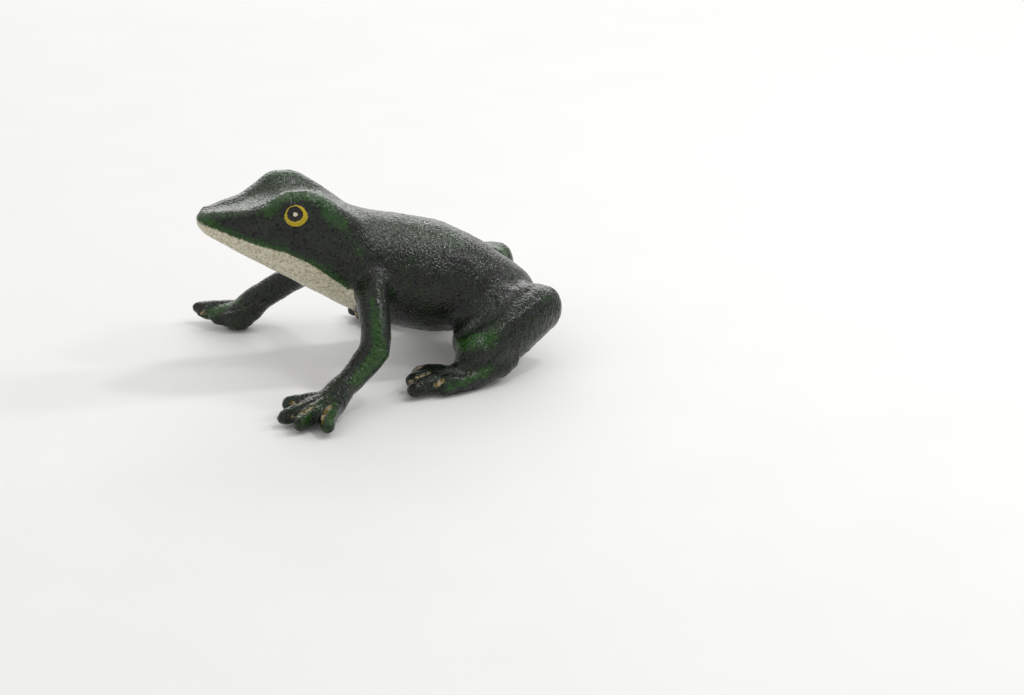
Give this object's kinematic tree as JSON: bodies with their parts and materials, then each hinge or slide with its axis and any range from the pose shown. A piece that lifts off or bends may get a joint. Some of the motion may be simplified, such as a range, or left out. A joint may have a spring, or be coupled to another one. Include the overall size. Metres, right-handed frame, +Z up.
{
  "type": "frog figurine",
  "caption": "Crouching garden or shelf frog in painted cast iron: hollow torso with raised head, bolted-on splayed legs and a belly cover plate; stands free on its feet.",
  "frame": {"origin": "on the ground plane, under the middle of the frog's bounding box", "axes": "+Z up; the frog looks along -Y; +X is the frog's own left side"},
  "size_m": [0.1624, 0.1592, 0.0887],
  "materials": {
    "torso_paint": "glossy dark green enamel over coarse sand-cast iron, dry-brushed brighter green on ridges, cream throat and chest, yellow-ringed black eyes",
    "belly_paint": "glossy near-black green enamel over sand-cast iron",
    "leg_paint": "glossy dark green enamel over sand-cast iron, brighter green on ridges, cream and rust between the toes",
    "zinc_steel": "dull zinc-plated steel"
  },
  "bodies": {
    "root": {"torso_shell": "torso_paint", "belly_plate": "belly_paint", "left_front_leg": "leg_paint", "right_front_leg": "leg_paint", "left_hind_leg": "leg_paint", "right_hind_leg": "leg_paint", "left_shoulder_screw": "zinc_steel", "left_shoulder_washer": "zinc_steel", "left_hip_screw": "zinc_steel", "left_hip_washer": "zinc_steel", "right_shoulder_screw": "zinc_steel", "right_shoulder_washer": "zinc_steel", "right_hip_screw": "zinc_steel", "right_hip_washer": "zinc_steel", "front_belly_screw": "zinc_steel", "rear_belly_screw": "zinc_steel"}
  },
  "joints": []
}
